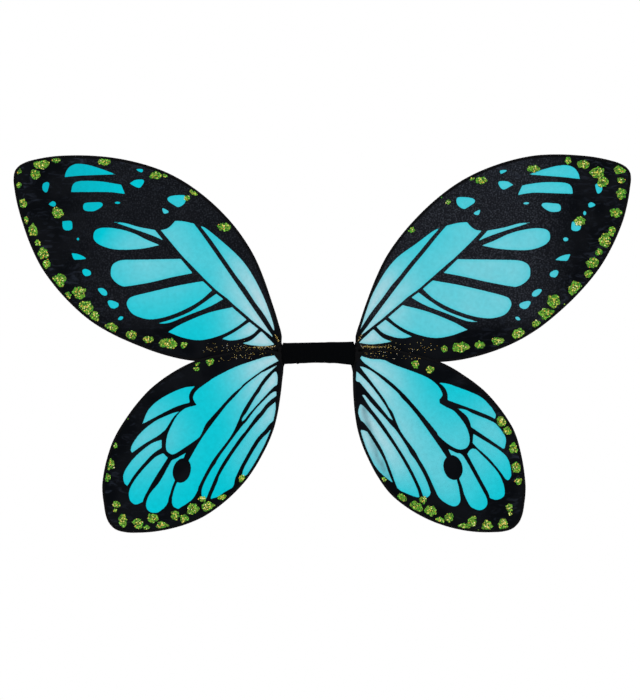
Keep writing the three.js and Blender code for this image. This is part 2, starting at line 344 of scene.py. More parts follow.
# The upper right wing's print is the upper left one's, stretched to fit. Each lower wing has its own.
PRINT = {
    "upper": [
        # the tip
        [(330, 229.5, C), (328, 236.5), (323, 243), (314.5, 246.5), (301, 245.5), (283.5, 240.5),
         (263.5, 233, C), (306, 231.5)],
        [(321.5, 210, C), (319.5, 219), (313.5, 223.5), (301, 224.5), (281, 223.5), (256.5, 219.5, C),
         (251.5, 207.5, C), (273.5, 210)],
        [(306, 190.5), (303.5, 195.5), (294.5, 196.5), (283.5, 196.5), (280.5, 193), (286, 188),
         (293.5, 185), (303.5, 186)],
        [(265, 196), (261, 197.5), (257, 196), (261, 194.5)],
        # spots down the outer edge
        [(359, 216.5), (357.5, 221), (353, 223), (350, 220.5), (353, 210), (357.5, 211.5)],
        [(350.5, 194), (345.5, 198), (341.5, 195.5), (343.5, 191)],
        [(333, 172, C), (323, 172.5), (320.5, 170.5), (320.5, 162), (327, 160), (332, 163)],
        [(314.5, 149), (312.5, 150.5), (311, 149), (312.5, 147)],
        [(321, 130.5, C), (313.5, 129.5), (306, 126.5), (301.5, 123, C), (313.5, 122), (318, 123)],
        [(307, 107), (303.5, 110), (296.5, 107), (296.5, 102), (303.5, 101)],
        [(286.5, 84), (281, 85), (275.5, 81), (275, 76), (279.5, 75.5), (283.5, 78.5)],
        [(274, 67.5), (269.5, 69), (260.5, 65.5), (260.5, 61), (266, 58.5), (271, 60.5)],
        [(260.5, 44), (258, 48), (254, 47.5), (255.5, 44)],
        # spots along the front edge
        [(237, 239.5), (228.5, 239.5), (230, 235.5)],
        [(245.5, 221, C), (238.5, 225.5), (228, 226), (227.5, 221.5), (233.5, 215.5)],
        [(196, 199.5), (192.5, 204.5), (176.5, 206), (172, 203), (174, 195.5), (181.5, 190.5),
         (187.5, 193)],
        [(202.5, 189), (194.5, 184.5), (198.5, 182), (201.5, 183)],
        # fingers between the veins, from the tip to the root
        [(292.5, 153), (290.5, 159.5), (283.5, 163), (271, 163.5), (253.5, 160.5), (238.5, 155.5),
         (223.5, 148), (206.5, 141, C), (228.5, 136.5), (251, 135), (268.5, 136), (283.5, 141),
         (291, 147)],
        [(266, 171, C), (251, 169.5), (233.5, 164.5), (212.5, 160.5, C), (201.5, 147, C), (218.5, 154.5)],
        [(270, 106), (268.5, 113.5), (263.5, 118.5), (253.5, 121.5), (228.5, 122), (179, 123, C),
         (163.5, 104.5, C), (189, 99.5), (218.5, 92.5), (248.5, 87.5), (256, 88), (263.5, 92.5),
         (269, 99.5)],
        [(249, 63.5), (246.5, 71), (238.5, 75), (214, 81), (181.5, 88.5), (150.5, 94, C), (137, 83.5, C),
         (154, 68.5), (176.5, 56), (199, 47.5), (218.5, 44.5), (233.5, 47.5), (243.5, 53.5)],
        [(209, 39, C), (189, 45), (164, 56), (131.5, 78.5, C), (122.5, 71.5, C), (141.5, 61), (169, 50),
         (194, 40)],
        [(195.5, 28, C), (176.5, 39), (144, 52.5), (110.5, 60.5, C), (92, 45, C), (107, 34), (126.5, 24),
         (151.5, 17.5), (174, 20)],
        [(125.5, 19, C), (109.5, 27.5), (88, 42, C), (77.5, 32.5, C), (87, 24), (102, 18.5), (114.5, 17)],
        [(99, 13, C), (87, 17.5), (74, 29, C), (57, 11.5, C), (69.5, 9.5), (84.5, 10.5)],
        # the long cell in the middle, and the one along the front edge
        [(205, 160.5, C), (196.5, 162.5), (190, 168), (186.5, 172.5, C), (176.5, 172), (162, 169, C),
         (141.5, 141), (58.5, 21, C), (63, 23.5), (77.5, 34.5), (93, 49), (134.5, 84), (150, 97),
         (180, 130.5)],
        [(154, 166.5, C), (142.5, 160), (112.5, 134.5), (95.5, 116.5), (81.5, 94.5), (68.5, 67),
         (59, 39.5), (57, 28, C), (69.5, 49), (82.5, 67), (95.5, 86.5), (107.5, 102), (137, 144.5)],
    ],
    "lower_left": [
        # the big cell along the upper edge
        [(46, -1.5, C), (66.5, -4), (81.5, -8.5), (107.5, -17.5), (133.5, -30.5), (142.5, -36.5),
         (158, -48), (162.5, -56.5), (161.5, -61.5), (158, -67, C), (174, -72), (184.5, -82.5),
         (193, -98.5), (197, -110.5), (197.5, -124.5), (192, -130.5), (187, -130.5), (180, -126.5),
         (158, -111.5), (152.5, -105.5), (146, -91.5), (137, -81), (114, -55.5), (101.5, -44.5),
         (94.5, -37.5), (68.5, -19), (46, -6.5, C)],
        # fingers round the outer edge
        [(160, -42.5, C), (174, -44.5), (191.5, -51.5), (208.5, -61.5), (221, -74), (228.5, -91.5, C),
         (188, -70.5), (167, -63.5, C), (168, -55), (165, -48)],
        [(180, -75, C), (191.5, -78.5), (212, -88), (229.5, -102), (240, -115.5), (243.5, -124.5),
         (242, -129, C), (226, -117.5), (208.5, -107), (198.5, -99, C), (188, -82.5)],
        [(203.5, -112, C), (217.5, -117.5), (235, -131.5), (247, -145.5), (253, -157.5), (252, -168),
         (248, -172, C), (240, -159), (226, -142), (214, -129.5), (203.5, -122.5, C)],
        [(201.5, -129.5, C), (212, -135), (226, -149), (238.5, -164.5), (245.5, -178.5), (244.5, -190.5),
         (237.5, -196), (228.5, -193, C), (224.5, -183.5), (214, -164.5), (195.5, -135.5, C)],
        # the finger outside the spot
        [(169.5, -127.5, C), (183, -135.5), (188.5, -138), (192, -141.5), (206, -166.5), (217.5, -180.5),
         (222.5, -190.5), (223.5, -199.5), (219, -205.5), (211.5, -207), (206, -205), (197, -196.5),
         (193.5, -185), (188, -170), (177, -147)],
        # long cells from the root, from the middle to the inner edge
        [(52.5, -14.5, C), (69, -23), (75, -26), (94.5, -41), (109, -56.5), (121, -69.5), (149.5, -107.5),
         (166, -135), (184, -167), (189, -180.5), (189.5, -196), (183, -201.5), (179, -200),
         (164.5, -190), (157, -178.5), (154.5, -171), (137.5, -139.5), (112.5, -105.5), (98, -74.5),
         (81.5, -48.5), (69, -30.5)],
        [(55, -23, C), (60, -27), (72, -42), (76.5, -50), (81.5, -56.5), (92.5, -75.5), (98.5, -84),
         (99, -88.5, C), (94.5, -84.5), (88, -76), (61, -46.5), (53.5, -40.5, C), (53, -30)],
        [(54.5, -49, C), (59, -50.5), (64.5, -55), (81.5, -72.5), (93.5, -88.5), (100, -95.5),
         (127, -132), (133.5, -143), (140, -152.5), (150.5, -174), (151, -187), (146.5, -190, C),
         (131, -154.5), (119, -134), (101, -108), (94.5, -100.5), (81.5, -82.5), (75, -75.5), (68.5, -67),
         (62, -60.5), (54.5, -55, C)],
        [(55.5, -62.5, C), (65.5, -71.5), (72, -80), (88.5, -99.5), (109.5, -128), (127, -156),
         (131, -166.5), (138.5, -184), (140, -189, C), (129, -185.5), (122.5, -180.5), (112, -174.5, C),
         (109.5, -170), (107.5, -161), (97.5, -140.5), (81.5, -113), (70, -100), (63.5, -92),
         (57, -86, C), (55.5, -79)],
        [(58.5, -94.5, C), (64.5, -102), (77, -115.5), (94.5, -145), (100, -160, C), (94.5, -158.5),
         (86.5, -150.5), (66, -119)],
    ],
    "lower_right": [
        # the big cell along the upper edge
        [(55, -3, C), (68, -7), (85, -8.5), (98, -14.5), (137, -29), (154, -40.5), (161, -52),
         (160, -56.5), (157, -60, C), (157.5, -64.5, C), (166, -69.5), (173.5, -73), (180, -78.5),
         (191.5, -94), (196.5, -110), (193.5, -121.5), (182.5, -124.5), (168.5, -117.5), (156, -106.5),
         (152, -100), (123, -65.5), (106, -47.5), (88, -32), (62, -14), (54.5, -6, C)],
        # fingers round the outer edge
        [(156.5, -38, C), (166, -39), (176, -42), (208.5, -55), (223, -68), (228, -75), (230.5, -80),
         (229.5, -85, C), (223, -81.5), (203.5, -73.5), (168, -60.5, C), (168, -54), (166, -47.5),
         (162, -42)],
        [(180.5, -71, C), (192, -73.5), (202, -78.5), (223, -87), (232, -93), (243, -108.5),
         (242.5, -121), (240.5, -124, C), (198.5, -95.5, C), (196.5, -88), (192, -80.5)],
        [(201.5, -104.5, C), (236.5, -126.5), (247.5, -140), (250.5, -156.5), (249, -162), (246, -165, C),
         (242.5, -162), (236, -153), (221.5, -136), (206, -122), (200.5, -116, C)],
        [(193.5, -130.5, C), (198, -124.5), (203, -124), (208.5, -128), (231, -151.5), (240, -168.5),
         (242, -182), (238.5, -187.5), (231, -190), (223, -188, C), (220.5, -180.5), (211, -163)],
        # the finger outside the spot
        [(165.5, -122.5, C), (179, -129), (185, -130.5), (192, -139), (212.5, -176), (218, -186.5),
         (219.5, -193), (218.5, -198), (214.5, -202), (209.5, -203.5), (203.5, -202), (197, -197.5),
         (190, -184), (184.5, -166.5)],
        # long cells from the root, from the middle to the inner edge
        [(53.5, -16.5, C), (62, -19), (75, -27), (101, -49), (108.5, -58), (118.5, -68.5), (134, -88),
         (164, -131), (176, -153), (180.5, -164.5), (184, -184), (184.5, -190.5), (182.5, -195.5),
         (177.5, -198.5), (171, -197), (163, -192.5), (156.5, -186.5), (153, -180), (141, -154),
         (130.5, -136), (125, -126), (107, -101), (97, -77.5), (91.5, -69.5), (86.5, -60.5),
         (73.5, -42.5)],
        [(49.5, -23, C), (62, -35), (75, -50.5), (88, -69.5), (97, -87, C), (91.5, -83), (86, -76),
         (53.5, -37, C), (50.5, -36.5), (49, -34)],
        [(57, -54, C), (60.5, -54.5), (68, -63.5), (86.5, -83.5), (94, -92.5), (101, -100), (114, -119.5),
         (120, -130.5), (127, -140), (138.5, -160.5), (145, -177.5), (145.5, -182), (143.5, -185.5),
         (140, -187), (136.5, -186, C), (132, -173.5), (121.5, -151.5), (108.5, -129), (85, -93),
         (68, -71)],
        [(55, -65.5, C), (62, -72), (76, -89), (101, -124.5), (119, -155.5), (128.5, -176),
         (131.5, -187, C), (124, -185.5), (108.5, -179), (102.5, -174.5, C), (86.5, -132.5), (75, -111.5),
         (62, -93), (55, -86.5, C), (52, -77.5), (53, -70)],
        [(54.5, -99, C), (62, -101), (67, -107), (84, -136), (91.5, -155.5), (97, -168.5, C),
         (82.5, -156.5), (75.5, -148.5), (64.5, -131.5), (56.5, -110)],
    ],
}

# Which wing each print is drawn on.
DRAWN_ON = {"upper": "upper_left", "lower_left": "lower_left", "lower_right": "lower_right"}

# How far the print lies from where stretching alone puts it: (u, z, shift along u, shift along z).
SHIFTS = {
    "upper_right": [
        (320, 235, -1, -3), (222, 215, -4, -4), (185, 190, -3, -4), (140, 162, -7, -5),
        (206, 158, -1, -1), (285, 152, 1, -1), (178, 130, -6, -1), (238, 112, -3, 0), (300, 100, 0, -1),
        (175, 92, -10, 1), (205, 62, -12, 2), (245, 58, -5, 0), (150, 60, -11, 2), (180, 32, -14, 4),
        (120, 34, -12, 4), (100, 108, -6, 1), (75, 60, -4, 3), (64, 22, -5, 3),
    ],
}

# Ink drawn over the cells: the eye spots as (u, z, half width, half height, lean in degrees), and veins as
# (points, half width).
SPOTS = {"lower_left": (177.3, -152, 11.6, 16.2, 15), "lower_right": (175, -148.2, 12.3, 16.4, 15)}
VEINS = {
    "upper": [
        ([(52.5, 12.5), (62, 21), (76, 32.5), (90.5, 44), (107.5, 58.5), (119, 69.5), (133.5, 80.5),
          (149, 95.5), (166, 113), (179, 126), (203, 154)], 1.85),
    ],
    "lower_left": [([(167, -123), (173, -138)], 2.6), ([(184, -164), (189, -176), (192.5, -190)], 1.8)],
    "lower_right": [([(165, -122), (171, -134)], 2.4), ([(181, -162), (184, -172), (189, -188)], 1.9)],
}

# Small cells that only one wing has: (u, z, half width, half height).
EXTRA_CELLS = {"upper_right": [(321.8, 148.5, 3.3, 2.5), (346.5, 182.5, 1.9, 2.7)]}

# Where the turquoise is faded: (u, z, how far it spreads, how much), all adding up.
FADED = {
    "upper_left": [
        (55, 15, 46, 0.95), (62, 60, 38, 0.55), (80, 105, 45, 0.55), (215, 132, 62, 0.32),
        (335, 215, 75, -0.28),
    ],
    "upper_right": [
        (50, 20, 42, 0.75), (68, 68, 42, 0.5), (85, 100, 40, 0.2), (200, 40, 110, 0.27),
        (240, 140, 80, 0.2), (300, 220, 90, 0.12),
    ],
    "lower_left": [(48, -15, 50, 1.0), (58, -85, 32, 0.45), (85, -135, 28, 0.15), (228, -108, 45, 0.25)],
    "lower_right": [
        (60, -35, 45, 0.85), (62, -100, 42, 0.6), (95, -135, 35, 0.35), (165, -150, 45, 0.22),
        (228, -100, 38, 0.2), (130, -95, 40, 0.12),
    ],
}

# How thin and grey the ink is between the cells of each wing, where the mesh's weave shows through it.
RUBBED_INK = {"upper_left": 0.45, "upper_right": 1.0, "lower_left": 0.0, "lower_right": 0.0}

# Painted shadow where a strap behind the mesh shows through: its line in mm, and its half width.
STRAP_SHADOW = {"lower_right": ([(58, -66), (62, -84), (68, -103), (75, -131), (90, -160)], 4.5)}

# Dabs of glitter: (u, z, half width, half height).
GLITTER = {
    "upper_left": [
        (390, 237, 3.7, 3.7), (360, 246, 9.9, 6.2), (368, 233, 6.2, 6.2), (341, 251.5, 5.5, 3.2),
        (390, 219, 3.7, 3.7), (385, 195, 5.7, 5.7), (380, 173, 3, 5), (371, 160, 5.5, 8.2),
        (365, 144, 3.7, 3.7), (358, 130, 7, 7), (354, 116, 5.5, 5.5), (337, 95, 8.7, 8.7),
        (311, 79, 8.2, 8.2), (326, 75, 4.5, 4.5), (302, 60, 9.5, 8.2), (291, 48, 5.5, 7),
        (270, 33, 8.2, 7), (243, 24, 7, 5.5), (221, 18, 6.7, 4.2), (195, 13, 11.2, 6.7), (175, 11, 4, 4),
        (339, 183, 7, 7), (278, 250, 8.7, 5), (211, 232, 7.5, 5), (199, 232, 3.2, 3.2),
        (161, 210, 5.5, 4.5), (171, 202, 3.5, 3.5), (122, 164.5, 8.2, 5.5),
    ],
    "upper_right": [
        (325, 251, 4.2, 4.2), (345, 246, 8, 5.5), (363, 235, 9.5, 7), (370, 223, 7.5, 6.2),
        (392, 239, 7.5, 5.5), (394, 225, 5.5, 3.5), (394, 208, 6.7, 6.7), (387, 183, 7.2, 6),
        (382, 159, 4.7, 6.2), (373, 147, 7.7, 9), (365, 132, 4.5, 4.5), (357, 118, 7.7, 7),
        (352, 103, 5.5, 5.5), (334, 84, 8.7, 9.5), (306, 68, 8, 9), (320, 64, 3.5, 3.5),
        (297, 51, 9.2, 8), (284, 38, 5.5, 5.5), (261, 25, 9, 7), (233, 16, 7.5, 5), (210, 11, 7, 4.5),
        (185, 8, 11.7, 6.2), (164, 6, 4.2, 4.2), (280, 240, 8.2, 4.5), (212, 225, 7, 4.5),
        (199, 228, 4.5, 2.7), (160, 203, 3.5, 3.5), (169, 197, 3, 3), (121, 161, 5, 3.5), (340, 172, 7, 6),
    ],
    "lower_left": [
        (141, -10, 5.2, 5.2), (157, -13, 2.4, 2.4), (158, -20, 3.8, 2.4), (247, -85, 1.7, 1.7),
        (264, -119, 2.6, 3.8), (270, -144, 4.9, 7.8), (274, -161, 3.8, 5.2), (262, -196, 4.9, 4.2),
        (264, -204, 2.1, 2.1), (254, -217, 5.2, 8.4), (234, -221, 6.6, 6.6), (215, -214, 6.4, 6.4),
        (223, -226, 4.4, 2.6), (203, -223, 8.4, 4.4), (186, -210, 5.7, 5.7), (174, -215, 5.7, 5.7),
        (163, -202, 7.8, 7), (151, -189, 4.5, 3.8), (143, -199, 9.1, 6.1), (124, -187, 6.4, 3.8),
        (98, -163, 5.6, 4.9),
    ],
    "lower_right": [
        (126, -14, 4.7, 4.7), (145, -21, 5.7, 4.2), (238, -88, 6.4, 6.4), (246, -100, 5.9, 5.2),
        (254, -123, 6.4, 6.4), (257, -148, 5.7, 7), (260, -166, 4.4, 4.4), (248, -200, 4.7, 4.7),
        (249, -208, 2.4, 2.4), (240, -222, 6.3, 7.3), (219, -224, 7.5, 6.4), (208, -229, 4.4, 1.7),
        (200, -218, 5.6, 6.6), (189, -225, 8.4, 4.4), (170, -213, 5.7, 5.7), (158, -217, 6.1, 4.4),
        (146, -204, 7.5, 6.6), (126, -200, 9.6, 7.3), (136, -190, 4.7, 4.7), (108, -188, 6.6, 5.2),
        (85, -164, 3.5, 3.1),
    ],
}


# ---- plane geometry, in millimetres ----

def catmull_rom(points, per_span):
    """A smooth line through open points: per_span steps between each two."""
    points = np.asarray(points, float)
    padded = np.vstack([2 * points[0] - points[1], points, 2 * points[-1] - points[-2]])
    steps = np.arange(per_span)[:, None] / per_span
    line = []
    for a, b, c, d in zip(padded, padded[1:], padded[2:], padded[3:]):
        line.append(
            0.5 * (2 * b + (c - a) * steps + (2 * a - 5 * b + 4 * c - d) * steps**2
                   + (3 * b - a - 3 * c + d) * steps**3)
        )
    return np.vstack([*line, points[-1:]])


def smooth_loop(drawn, per_span=8):
    """A closed outline through drawn points, smooth but for those marked as corners."""
    corners = [i for i, point in enumerate(drawn) if len(point) == 3]
    points = [point[:2] for point in drawn]
    if not corners:
        wrapped = points[-2:] + points + points[:3]
        return catmull_rom(wrapped, per_span)[2 * per_span : -(2 * per_span + 1)]
    outline = []
    for start, end in zip(corners, corners[1:] + [corners[0] + len(points)]):
        span = [points[i % len(points)] for i in range(start, end + 1)]
        outline.append(catmull_rom(span, per_span)[:-1])
    return np.vstack(outline)


def distance_to(points, line, closed=True):
    """How far each point lies from a line of straight pieces."""
    starts = line if closed else line[:-1]
    ends = np.roll(line, -1, axis=0) if closed else line[1:]
    best = np.full(len(points), np.inf)
    for start, end in zip(starts, ends):
        along = end - start
        share = np.clip((points - start) @ along / max(along @ along, 1e-12), 0, 1)
        best = np.minimum(best, np.linalg.norm(points - start - share[:, None] * along, axis=1))
    return best


def inside(points, outline):
    """Which points lie inside a closed outline."""
    within = np.zeros(len(points), bool)
    x, y = points.T
    for (x0, y0), (x1, y1) in zip(outline, np.roll(outline, -1, axis=0)):
        crosses = (y0 > y) != (y1 > y)
        if y0 != y1:
            within ^= crosses & (x < (x1 - x0) * (y - y0) / (y1 - y0) + x0)
    return within


def signed_distance(points, outlines, reach):
    """Distance to the nearest outline: positive inside one of them, and never beyond reach."""
    field = np.full(len(points), -reach)
    for outline in outlines:
        low, high = outline.min(axis=0) - reach, outline.max(axis=0) + reach
        near = np.flatnonzero(((points > low) & (points < high)).all(axis=1))
        if len(near) == 0:
            continue
        distance = np.minimum(distance_to(points[near], outline), reach)
        signed = np.where(inside(points[near], outline), distance, -distance)
        field[near] = np.maximum(field[near], signed)
    return field


def evenly(line, spacing):
    """The same line with points a fixed distance apart."""
    line = np.asarray(line, float)
    lengths = np.r_[0, np.cumsum(np.linalg.norm(np.diff(line, axis=0), axis=1))]
    marks = np.linspace(0, lengths[-1], max(2, round(lengths[-1] / spacing) + 1))
    return np.column_stack([np.interp(marks, lengths, column) for column in line.T])


def outward(line):
    """Unit normals on the left of a line's direction."""
    along = np.gradient(line, axis=0)
    along /= np.linalg.norm(along, axis=1)[:, None]
    return np.column_stack([-along[:, 1], along[:, 0]])


def stretched_from(points, ring, rest_ring):
    """Where points of a print stretched from rest_ring to ring lay at first, by mean value coordinates."""
    spokes = ring[None] - points[:, None]
    following = np.roll(spokes, -1, axis=1)
    lengths = np.linalg.norm(spokes, axis=2)
    cross = spokes[..., 0] * following[..., 1] - spokes[..., 1] * following[..., 0]
    dot = (spokes * following).sum(axis=2)
    cross = np.where(np.abs(cross) < 1e-9, 1e-9, cross)
    half_tangent = (lengths * np.roll(lengths, -1, axis=1) - dot) / cross
    weights = (half_tangent + np.roll(half_tangent, 1, axis=1)) / lengths
    return (weights / weights.sum(axis=1)[:, None]) @ rest_ring


def mesh_inside(rim, spacing):
    """Points and triangles that fill a closed rim: the rim's own points come first."""
    low, high = rim.min(axis=0), rim.max(axis=0)
    rows = np.arange(low[1], high[1], spacing * math.sqrt(3) / 2)
    columns = np.arange(low[0], high[0], spacing)
    grid = np.array([(x + (i % 2) * spacing / 2, y) for i, y in enumerate(rows) for x in columns])
    grid = grid[inside(grid, rim)]
    grid = grid[distance_to(grid, rim) > 0.6 * spacing]
    points = np.vstack([rim, grid])
    edges = [(i, (i + 1) % len(rim)) for i in range(len(rim))]
    found = geometry.delaunay_2d_cdt([Vector(p) for p in points], edges, [], 1, 1e-5, False)
    return np.array([tuple(p) for p in found[0]]), [tuple(face) for face in found[2]]


# ---- building blocks ----

def new_piece(name, vertices, faces, material, smooth=True):
    """A mesh object from vertices in millimetres."""
    mesh = bpy.data.meshes.new(name)
    mesh.from_pydata((np.asarray(vertices, float) * MM).tolist(), [], faces)
    mesh.polygons.foreach_set("use_smooth", [smooth] * len(mesh.polygons))
    mesh.materials.append(material)
    piece = bpy.data.objects.new(name, mesh)
    bpy.context.scene.collection.objects.link(piece)
    return piece


def in_space(points, side, depth):
    """Plane points (u, z) of one side's wing as places in space at a given depth (y)."""
    depth = np.broadcast_to(np.asarray(depth, float), len(points))
    return np.column_stack([SIDES[side] * points[:, 0], depth, points[:, 1]])


def tube_faces(rings, around, first=0):
    """Quads joining rings of points, and a face across each end."""
    faces = []
    for i in range(rings - 1):
        here, there = first + i * around, first + (i + 1) * around
        for j in range(around):
            k = (j + 1) % around
            faces.append((here + j, here + k, there + k, there + j))
    last = first + (rings - 1) * around
    faces.append(tuple(range(first, first + around))[::-1])
    faces.append(tuple(range(last, last + around)))
    return faces


def sweep(path, sideways, up, section_at):
    """Vertices of a section carried along a path: section_at gives one ring's (sideways, up) offsets."""
    rings = []
    for i, centre in enumerate(path):
        offsets = section_at(i)
        rings.append(centre + offsets[:, :1] * sideways[i] + offsets[:, 1:] * up[i])
    return np.vstack(rings)


ALONG_BAND, BACKWARD, FORWARD = (1.0, 0.0, 0.0), (0.0, 1.0, 0.0), (0.0, -1.0, 0.0)


def repeated(direction, places):
    """The same direction once for each place."""
    return np.tile(direction, (len(places), 1))


def circle(radius, sides):
    angles = np.arange(sides) * 2 * math.pi / sides
    return radius * np.column_stack([np.cos(angles), np.sin(angles)])


def fix_normals(piece):
    bm = bmesh.new()
    bm.from_mesh(piece.data)
    bmesh.ops.recalc_face_normals(bm, faces=bm.faces)
    bm.to_mesh(piece.data)
    bm.free()


def settle(piece, body, replaced=None):
    """Turns a piece's faces outwards, hangs it on its body, and hides the node it stands for."""
    fix_normals(piece)
    if replaced:
        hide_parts(replaced)
    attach(piece, body)


def set_attribute(piece, name, values):
    attribute = piece.data.attributes.new(name, "FLOAT", "POINT")
    attribute.data.foreach_set("value", np.asarray(values, np.float32))


def stitches(name, places, directions, normals, length, width, material):
    """A row of thread stitches: small flattened rods lying on a surface."""
    section = circle(width / 2, 6)
    profile = [(-0.5, 0.35), (-0.36, 0.9), (0, 1.15), (0.36, 0.9), (0.5, 0.35)]
    vertices, faces = [], []
    for place, along, normal in zip(places, directions, normals):
        across = np.cross(normal, along)
        first = len(vertices) * len(profile) * len(section)
        rings = [
            place + along * length * at + normal * width * 0.35 * (1 - 4 * at * at)
            + size * (section[:, :1] * across + section[:, 1:] * normal * 0.7)
            for at, size in profile
        ]
        vertices.append(np.vstack(rings))
        faces += tube_faces(len(profile), len(section), first=first)
    return new_piece(name, np.vstack(vertices), faces, material)


# ---- what the frame says about each wing ----

HEM_RADIUS = 1.5
LIP_REACH = 2.1  # how far in from the wire the hem's lip lies on the mesh
RIM_TO_WIRE = 1.1  # from the mesh panel's rim to the middle of the wire
SLACK_REACH = 40  # how far in from the rim the mesh is at its slackest
RIPPLE_HEIGHT, RIPPLE_SCALE = 0.55, 0.012
RIPPLE_SEEDS = {"left": 3.1, "right": 8.7}


def panel_ring(node):
    """The rim of a flat CAD panel as (u, z) in mm, from the root along the top to the tip and back."""
    bm = bmesh.new()
    bm.from_mesh(frame["nodes"][node].data)
    bmesh.ops.remove_doubles(bm, verts=bm.verts, dist=1e-6)
    bm.normal_update()
    rim = [e for e in bm.edges if sorted(f.normal.y < -0.5 for f in e.link_faces) == [False, True]]
    neighbours = {}
    for edge in rim:
        a, b = edge.verts
        neighbours.setdefault(a.index, []).append(b.index)
        neighbours.setdefault(b.index, []).append(a.index)
    place = {v.index: np.array([abs(v.co.x), v.co.z]) / MM for v in bm.verts}
    bm.free()
    # The rim's last edge closes the gap at the root: it is the one nearest the middle of the wings.
    start, end = min(
        ((a, b) for a in neighbours for b in neighbours[a]),
        key=lambda pair: (np.linalg.norm(place[pair[0]] + place[pair[1]]), -place[pair[0]][1]),
    )
    walk = [end, start]
    while len(walk) <= len(neighbours):
        onward = [n for n in neighbours[walk[-1]] if n != walk[-2]]
        walk.append(onward[0])
    return np.array([place[i] for i in walk[1:]])


class Wing:
    """One wing's measures: its rim, its wire's line and its plane, all in mm."""

    def __init__(self, level, side):
        self.level, self.side = level, side
        self.name = f"{level}_{side}"
        self.body = f"{self.name}_wing"
        low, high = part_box(f"{self.name}_mesh")
        self.y = (low.y + high.y) / 2 / MM
        self.ring = panel_ring(f"{self.name}_mesh")
        self.edge = catmull_rom(self.ring, 10)
        self.rim = evenly(self.edge, 1.7)
        coarse = evenly(self.edge, 1.2)
        self.wire = coarse + RIM_TO_WIRE * outward(coarse)

    def shape(self, points):
        """How far the mesh stands off its plane (y, in mm): slow ripples that die out at the rim."""
        off_rim = distance_to(points, self.rim[::3], closed=False)
        slack = np.clip(off_rim / SLACK_REACH, 0, 1)
        seed = RIPPLE_SEEDS[self.side]
        ripple = np.array([noise.noise((u * RIPPLE_SCALE, z * RIPPLE_SCALE, seed)) for u, z in points])
        return RIPPLE_HEIGHT * slack * ripple


# ---- the wings ----

MESH_SPACING = 1.5
SHEET_HALF_THICKNESS = 0.16
INK_REACH = 6.0  # how far from a cell's edge its distance is still told apart
SHIFT_SPREAD, SHIFT_EASE = 32, 0.12  # how far one shift of the print is felt, and what weakens it far off
JUST_INSIDE = 0.9995  # pulls points off the rim itself, where stretching is undefined
RUBBED_ABOVE, RUBBED_WITHIN = 30, 335  # the z and the u that bound the greyer ink
WORN_BEYOND, WORN_REACH = 150, 30  # the u where wear begins, and how far in from the rim it reaches


def print_name(wing):
    return wing.name if wing.name in PRINT else wing.level


def where_drawn(wing, wings, points):
    """Where points of a wing lie on the wing that its print is drawn on."""
    shifts = np.array(SHIFTS.get(wing.name, [(0, 0, 0, 0)]), float)
    apart = np.linalg.norm(points[:, None] - shifts[None, :, :2], axis=2)
    weights = np.exp(-((apart / SHIFT_SPREAD) ** 2))
    points = points - (weights @ shifts[:, 2:]) / (weights.sum(axis=1)[:, None] + SHIFT_EASE)
    drawn_on = wings[DRAWN_ON[print_name(wing)]]
    if wing is drawn_on:
        return points
    middle = wing.ring.mean(axis=0)
    return stretched_from(middle + (points - middle) * JUST_INSIDE, wing.ring, drawn_on.ring)


def cell_depth(wing, wings, points):
    """How deep inside a turquoise cell each point of a wing lies, in mm: below zero, it is on ink."""
    drawn = where_drawn(wing, wings, points)
    name = print_name(wing)
    depth = signed_distance(drawn, [smooth_loop(cell) for cell in PRINT[name]], INK_REACH)
    if name in SPOTS:
        u, z, half_width, half_height, lean = SPOTS[name]
        lean = math.radians(lean)
        off = drawn - (u, z)
        across = off[:, 0] * math.cos(lean) + off[:, 1] * math.sin(lean)
        up = off[:, 1] * math.cos(lean) - off[:, 0] * math.sin(lean)
        oval = np.hypot(across / half_width, up / half_height) - 1
        depth = np.minimum(depth, oval * half_width)
    for u, z, half_width, half_height in EXTRA_CELLS.get(wing.name, []):
        oval = np.hypot((points[:, 0] - u) / half_width, (points[:, 1] - z) / half_height)
        depth = np.maximum(depth, (1 - oval) * half_height)
    for line, half_width in VEINS.get(name, []):
        depth = np.minimum(depth, distance_to(drawn, evenly(line, 4), closed=False) - half_width)
    return depth


def print_attributes(wing, piece, points, wings):
    """Lays the print on a panel: how deep in a cell each point is, how pale or deep, how worn the ink, and where a
    strap's shadow is painted.
    """
    set_attribute(piece, "cell", np.tile(cell_depth(wing, wings, points), 2))

    faded = np.zeros(len(points))
    for u, z, spread, share in FADED[wing.name]:
        faded += share * np.exp(-((points - (u, z)) ** 2).sum(axis=1) / spread**2)
    set_attribute(piece, "fade", np.tile(np.clip(faded, 0, 1), 2))
    set_attribute(piece, "deep", np.tile(np.clip(-faded, 0, 1), 2))

    # painted shadow of the strap that hangs behind the mesh
    shadow = np.zeros(len(points))
    if wing.name in STRAP_SHADOW:
        line, half_width = STRAP_SHADOW[wing.name]
        shadow = 0.5 * np.exp(-((distance_to(points, evenly(line, 5), closed=False) / half_width) ** 2))
    set_attribute(piece, "shadow", np.tile(shadow, 2))

    u, z = points.T
    rubbed = np.clip((z - RUBBED_ABOVE) / 25, 0, 1) * np.clip((RUBBED_WITHIN - u) / 60, 0, 1)
    set_attribute(piece, "grey", np.tile(RUBBED_INK[wing.name] * rubbed, 2))

    off_rim = distance_to(points, wing.rim[::3], closed=False)
    tip_side = np.clip((u - WORN_BEYOND) / 150, 0, 1)
    set_attribute(piece, "worn", np.tile(np.exp(-off_rim / WORN_REACH) * tip_side, 2))


